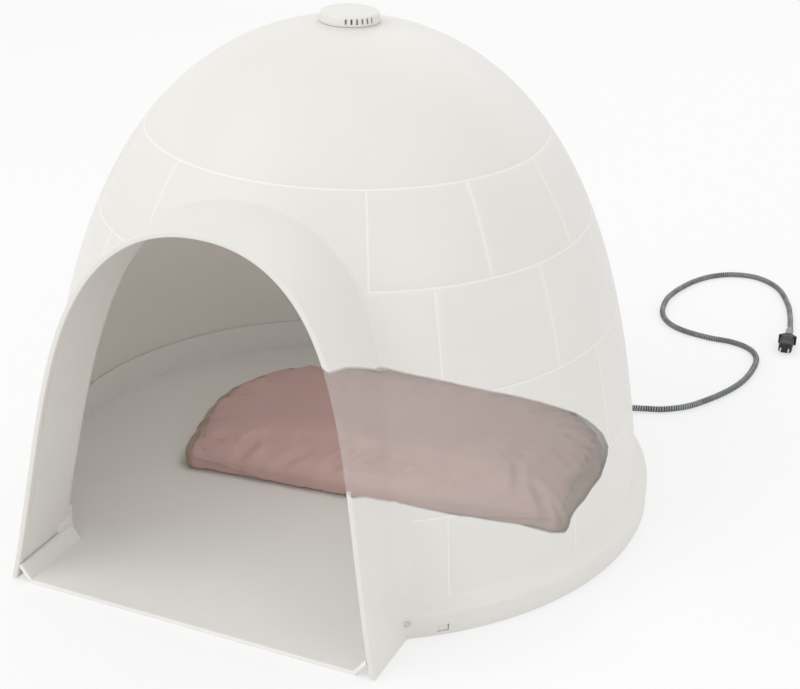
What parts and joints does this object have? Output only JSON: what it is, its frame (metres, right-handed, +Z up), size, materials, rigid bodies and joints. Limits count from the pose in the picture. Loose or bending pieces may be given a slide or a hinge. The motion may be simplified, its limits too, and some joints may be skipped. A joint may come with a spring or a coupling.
{
  "type": "igloo dog bed",
  "caption": "Moulded igloo-shaped dog house with arched entrance tunnel, turning roof vent and a heated half-moon cushion on a steel-wound supply lead.",
  "frame": {"origin": "on the ground under the crown of the dome", "axes": "+X to the right seen from the entrance, the entrance tunnel points towards -Y, +Z up"},
  "size_m": [0.9054, 1.3915, 0.6469],
  "materials": {
    "shell_plastic": "satin off-white moulded plastic, faintly translucent",
    "pan_plastic": "satin off-white moulded plastic",
    "zinc_steel": "zinc-plated",
    "cover_pink": "wrinkled soft leather look, pinkish tan",
    "cover_brown": "wrinkled soft leather look, brown",
    "zip_tape": "woven tape",
    "pull_brass": "dull",
    "foam": "open-cell foam",
    "heater_cloth": "coated carrier cloth",
    "wire_sleeve": "silicone sleeve",
    "black_plastic": "moulded black plastic",
    "black_rubber": "soft moulded black rubber",
    "wound_steel": "wound steel strip",
    "blade_metal": "nickel-plated"
  },
  "bodies": {
    "house": {"dome_shell": "shell_plastic", "floor_pan": "pan_plastic", "rim_screws": "zinc_steel", "vent_collar": "shell_plastic", "cover_top": "cover_pink", "cover_bottom": "cover_brown", "cover_zip": "zip_tape", "zip_pull": "pull_brass", "base_foam": "foam", "heater_sheet": "heater_cloth", "heating_wire": "wire_sleeve", "thermostats": "black_plastic", "wire_splice": "black_plastic", "lead_wires": "black_rubber", "foam_core": "foam", "cord_gland": "black_rubber", "armor_ferrule": "wound_steel", "supply_cord": "wound_steel", "plug_ferrule": "black_plastic", "plug_body": "black_plastic", "plug_blades": "blade_metal"},
    "vent_cap": {"vent_cap": "shell_plastic", "vent_screw": "zinc_steel", "vent_washer": "zinc_steel"}
  },
  "joints": [
    {"name": "vent_turn", "type": "hinge", "parent": "house", "child": "vent_cap", "pos_m": [0, 0, 0.64], "axis": [0, 0, 1], "range_deg": [0, 60]}
  ]
}
